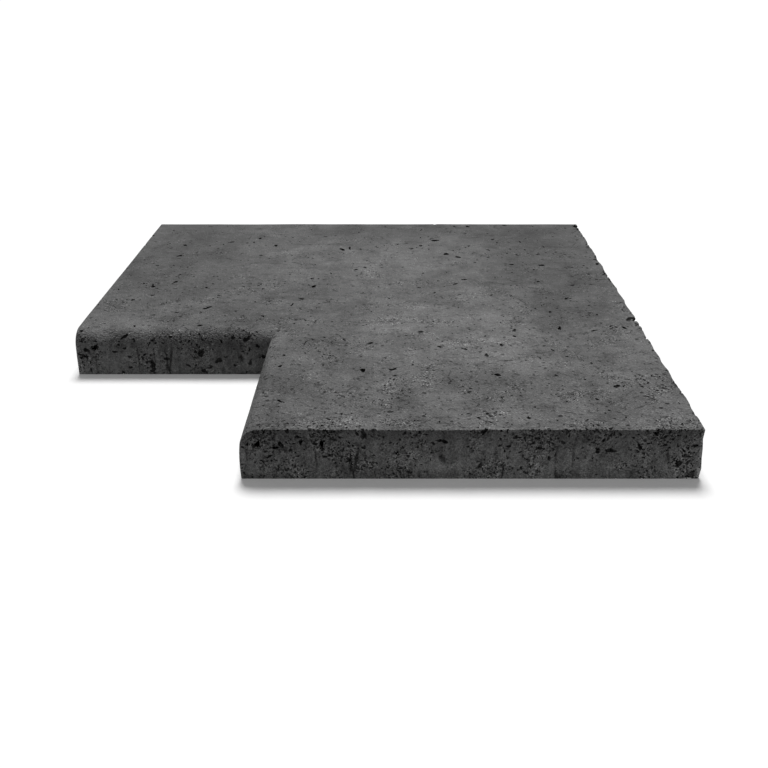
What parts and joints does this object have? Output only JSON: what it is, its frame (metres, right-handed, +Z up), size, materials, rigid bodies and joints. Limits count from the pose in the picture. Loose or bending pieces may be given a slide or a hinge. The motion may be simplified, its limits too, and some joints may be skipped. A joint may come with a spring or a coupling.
{
  "type": "pool coping corner stone",
  "caption": "One-piece cast-stone coping for an inside corner of a swimming pool: a flat L-shaped slab with a rounded nose along both pool sides.",
  "frame": {"origin": "centre of the 0.5 m square that the stone fills, on its underside", "axes": "+Z up out of the walking face; the pool's corner is the open notch towards -X and -Y; -X is out of the left end joint, -Y out of the front end joint, and the stone is the same across the diagonal through the notch"},
  "size_m": [0.5, 0.5, 0.04],
  "materials": {
    "cast_stone": "matte"
  },
  "bodies": {
    "root": {"coping_corner": "cast_stone"}
  },
  "joints": []
}
